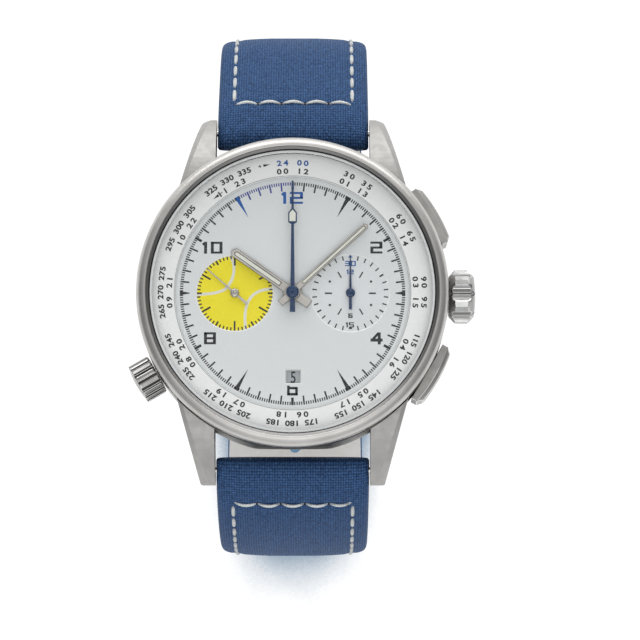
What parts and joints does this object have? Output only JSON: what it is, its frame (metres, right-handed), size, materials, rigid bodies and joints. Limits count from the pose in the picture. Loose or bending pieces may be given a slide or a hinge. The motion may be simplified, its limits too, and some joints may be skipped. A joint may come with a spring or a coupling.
{
  "type": "flyback chronograph wristwatch",
  "caption": "Steel chronograph wristwatch with two small dials, turning inner ring, mechanism inside and a buckled canvas strap.",
  "frame": {"origin": "centre of the case back's outer face", "axes": "+Z out through the dial, +Y to 12 o'clock, +X to the crown at 3 o'clock"},
  "size_m": [0.0491, 0.0789, 0.0569],
  "materials": {
    "brushed_steel": "brushed",
    "satin_steel": "satin",
    "polished_steel": "polished",
    "sapphire": "clear",
    "black_rubber": "matt",
    "silver_dial": "fine matt silver",
    "white_ring": "matt white",
    "date_print": "matt",
    "navy_hand": "gloss",
    "steel_hand": "satin",
    "gilt_brass": "gilt",
    "movement_steel": "polished",
    "blued_steel": "blued",
    "nickel_plate": "striped nickel",
    "rotor_metal": "striped",
    "navy_canvas": "woven canvas",
    "navy_leather": "matt"
  },
  "bodies": {
    "case": {"mid_case": "brushed_steel", "bezel": "satin_steel", "crystal": "sapphire", "crystal_gasket": "black_rubber", "case_back": "brushed_steel", "back_crystal": "sapphire", "back_gasket": "black_rubber", "case_tubes": "polished_steel", "movement_ring": "nickel_plate", "dial": "silver_dial", "main_plate": "nickel_plate", "train_bridge": "nickel_plate", "barrel_bridge": "nickel_plate", "balance_cock": "nickel_plate", "balance_spring": "blued_steel", "rotor_bridge": "nickel_plate", "spring_bars": "polished_steel", "upper_strap": "navy_canvas", "lower_strap": "navy_canvas", "fixed_keeper": "navy_leather"},
    "corrector": {"corrector": "brushed_steel", "corrector_stem": "movement_steel"},
    "time_ring": {"time_ring": "white_ring"},
    "clutch": {"clutch_wheel": "movement_steel", "winding_pinion": "movement_steel"},
    "crown": {"crown": "satin_steel", "winding_stem": "movement_steel"},
    "crown_wheel": {"crown_wheel": "movement_steel"},
    "transfer_wheel": {"transfer_wheel": "movement_steel"},
    "ratchet_wheel": {"ratchet_wheel": "movement_steel"},
    "seconds": {"fourth_wheel": "gilt_brass", "small_seconds_hand": "steel_hand"},
    "third_wheel": {"third_wheel": "gilt_brass"},
    "minutes": {"centre_wheel": "gilt_brass", "cannon_pinion": "movement_steel", "minute_hand": "steel_hand"},
    "minute_wheel": {"minute_wheel": "gilt_brass"},
    "hours": {"hour_wheel": "gilt_brass", "hour_hand": "steel_hand"},
    "barrel": {"barrel": "gilt_brass", "mainspring": "blued_steel"},
    "escape_wheel": {"escape_wheel": "movement_steel"},
    "pallet_fork": {"pallet_fork": "movement_steel"},
    "balance": {"balance_wheel": "gilt_brass"},
    "date": {"date_disc": "date_print"},
    "chrono_seconds": {"chrono_wheel": "gilt_brass", "chrono_hand": "navy_hand"},
    "counter_minutes": {"minute_counter_wheel": "gilt_brass", "minute_counter_hand": "navy_hand"},
    "counter_hours": {"hour_counter_wheel": "gilt_brass", "hour_counter_hand": "navy_hand"},
    "column_wheel": {"column_wheel": "blued_steel"},
    "start_pusher": {"start_pusher": "brushed_steel"},
    "start_lever": {"start_lever": "movement_steel"},
    "reset_pusher": {"reset_pusher": "brushed_steel"},
    "reset_hammer": {"reset_hammer": "movement_steel"},
    "rotor": {"rotor": "rotor_metal"},
    "buckle_frame": {"buckle_frame": "polished_steel"},
    "buckle_tongue": {"buckle_tongue": "polished_steel"},
    "free_keeper": {"free_keeper": "navy_leather"}
  },
  "joints": [
    {"name": "corrector_turn", "type": "hinge", "parent": "case", "child": "corrector", "pos_m": [-0.01905, -0.011, 0.0067], "axis": [-0.866, -0.5, 0], "continuous": true},
    {"name": "ring_turn", "type": "hinge", "parent": "case", "child": "time_ring", "pos_m": [0, 0, 0.01], "axis": [0, 0, 1], "continuous": true},
    {"name": "crown_turn", "type": "hinge", "parent": "case", "child": "clutch", "pos_m": [0.0097, 0, 0.0063], "axis": [1, 0, 0], "continuous": true},
    {"name": "crown_pull", "type": "slide", "parent": "clutch", "child": "crown", "axis": [1, 0, 0], "range_m": [0, 0.0009]},
    {"name": "crown_wheel_turn", "type": "hinge", "parent": "case", "child": "crown_wheel", "pos_m": [0.0127, 0, 0.0037], "axis": [0, 0, 1], "continuous": true},
    {"name": "transfer_turn", "type": "hinge", "parent": "case", "child": "transfer_wheel", "pos_m": [0.01003, 0.00356, 0.0037], "axis": [0, 0, 1], "continuous": true},
    {"name": "ratchet_turn", "type": "hinge", "parent": "case", "child": "ratchet_wheel", "pos_m": [0.00424, 0.00678, 0.0037], "axis": [0, 0, 1], "continuous": true},
    {"name": "seconds_turn", "type": "hinge", "parent": "case", "child": "seconds", "pos_m": [-0.00815, 0, 0.005], "axis": [0, 0, -1], "continuous": true},
    {"name": "third_turn", "type": "hinge", "parent": "case", "child": "third_wheel", "pos_m": [-0.00427, -0.00331, 0.005], "axis": [0, 0, -1], "continuous": true},
    {"name": "minutes_turn", "type": "hinge", "parent": "case", "child": "minutes", "pos_m": [0, 0, 0.006], "axis": [0, 0, -1], "continuous": true},
    {"name": "minute_wheel_turn", "type": "hinge", "parent": "case", "child": "minute_wheel", "pos_m": [0, -0.0036, 0.0085], "axis": [0, 0, -1], "continuous": true},
    {"name": "hours_turn", "type": "hinge", "parent": "case", "child": "hours", "pos_m": [0, 0, 0.0088], "axis": [0, 0, -1], "continuous": true},
    {"name": "barrel_turn", "type": "hinge", "parent": "case", "child": "barrel", "pos_m": [0.00424, 0.00678, 0.005], "axis": [0, 0, -1], "continuous": true},
    {"name": "escape_turn", "type": "hinge", "parent": "case", "child": "escape_wheel", "pos_m": [-0.00581, 0.00405, 0.005], "axis": [0, 0, -1], "continuous": true},
    {"name": "fork_swing", "type": "hinge", "parent": "case", "child": "pallet_fork", "pos_m": [-0.00616, 0.00602, 0.0053], "axis": [0, 0, 1], "range_deg": [-5, 5]},
    {"name": "balance_swing", "type": "hinge", "parent": "case", "child": "balance", "pos_m": [-0.00661, 0.00858, 0.0048], "axis": [0, 0, 1], "range_deg": [-270, 270], "stiffness_Nm_per_rad": 0.000001, "deforming": ["balance_spring"]},
    {"name": "date_turn", "type": "hinge", "parent": "case", "child": "date", "pos_m": [0, 0, 0.009], "axis": [0, 0, -1], "continuous": true},
    {"name": "chrono_turn", "type": "hinge", "parent": "case", "child": "chrono_seconds", "pos_m": [0, 0, 0.003], "axis": [0, 0, -1], "continuous": true},
    {"name": "counter_minutes_turn", "type": "hinge", "parent": "case", "child": "counter_minutes", "pos_m": [0.00815, 0, 0.003], "axis": [0, 0, -1], "continuous": true},
    {"name": "counter_hours_turn", "type": "hinge", "parent": "case", "child": "counter_hours", "pos_m": [0.00815, 0, 0.0086], "axis": [0, 0, -1], "continuous": true},
    {"name": "column_turn", "type": "hinge", "parent": "case", "child": "column_wheel", "pos_m": [0.0089, 0.0083, 0.0032], "axis": [0, 0, -1], "continuous": true},
    {"name": "start_press", "type": "slide", "parent": "case", "child": "start_pusher", "axis": [-0.866, -0.5, 0], "range_m": [0, 0.0011], "stiffness_N_per_m": 1500},
    {"name": "start_lever_swing", "type": "hinge", "parent": "case", "child": "start_lever", "pos_m": [0.0135, 0.003, 0.0034], "axis": [0, 0, 1], "range_deg": [0, 17]},
    {"name": "reset_press", "type": "slide", "parent": "case", "child": "reset_pusher", "axis": [-0.866, 0.5, 0], "range_m": [0, 0.0011], "stiffness_N_per_m": 1500},
    {"name": "reset_hammer_swing", "type": "hinge", "parent": "case", "child": "reset_hammer", "pos_m": [0.0135, -0.003, 0.0034], "axis": [0, 0, -1], "range_deg": [0, 17]},
    {"name": "rotor_turn", "type": "hinge", "parent": "case", "child": "rotor", "pos_m": [0, 0, 0.002], "axis": [0, 0, 1], "continuous": true},
    {"name": "buckle_swing", "type": "hinge", "parent": "case", "child": "buckle_frame", "pos_m": [0, 0.001, -0.0383], "axis": [1, 0, 0], "range_deg": [-1, 2]},
    {"name": "tongue_swing", "type": "hinge", "parent": "buckle_frame", "child": "buckle_tongue", "pos_m": [0, 0.001, -0.0383], "axis": [1, 0, 0], "range_deg": [0, 3]},
    {"name": "keeper_slide", "type": "slide", "parent": "case", "child": "free_keeper", "axis": [0, 1, 0], "range_m": [-0.002, 0.002]}
  ],
  "couplings": [
    {"joint": "ring_turn", "follows": "corrector_turn", "ratio": -0.090909},
    {"joint": "crown_wheel_turn", "follows": "crown_turn", "ratio": -0.88889},
    {"joint": "transfer_turn", "follows": "crown_turn", "ratio": 0.74074},
    {"joint": "ratchet_turn", "follows": "crown_turn", "ratio": -0.42328},
    {"joint": "third_turn", "follows": "seconds_turn", "ratio": -0.13333},
    {"joint": "minutes_turn", "follows": "seconds_turn", "ratio": 0.016667},
    {"joint": "minute_wheel_turn", "follows": "seconds_turn", "ratio": -0.0055556},
    {"joint": "hours_turn", "follows": "seconds_turn", "ratio": 0.0013889},
    {"joint": "barrel_turn", "follows": "seconds_turn", "ratio": -0.0041667},
    {"joint": "escape_turn", "follows": "seconds_turn", "ratio": -12},
    {"joint": "counter_minutes_turn", "follows": "chrono_turn", "ratio": 0.033333},
    {"joint": "counter_hours_turn", "follows": "chrono_turn", "ratio": 0.0013889},
    {"joint": "start_lever_swing", "follows": "start_press", "rad_per_m": 258},
    {"joint": "reset_hammer_swing", "follows": "reset_press", "rad_per_m": 258}
  ]
}
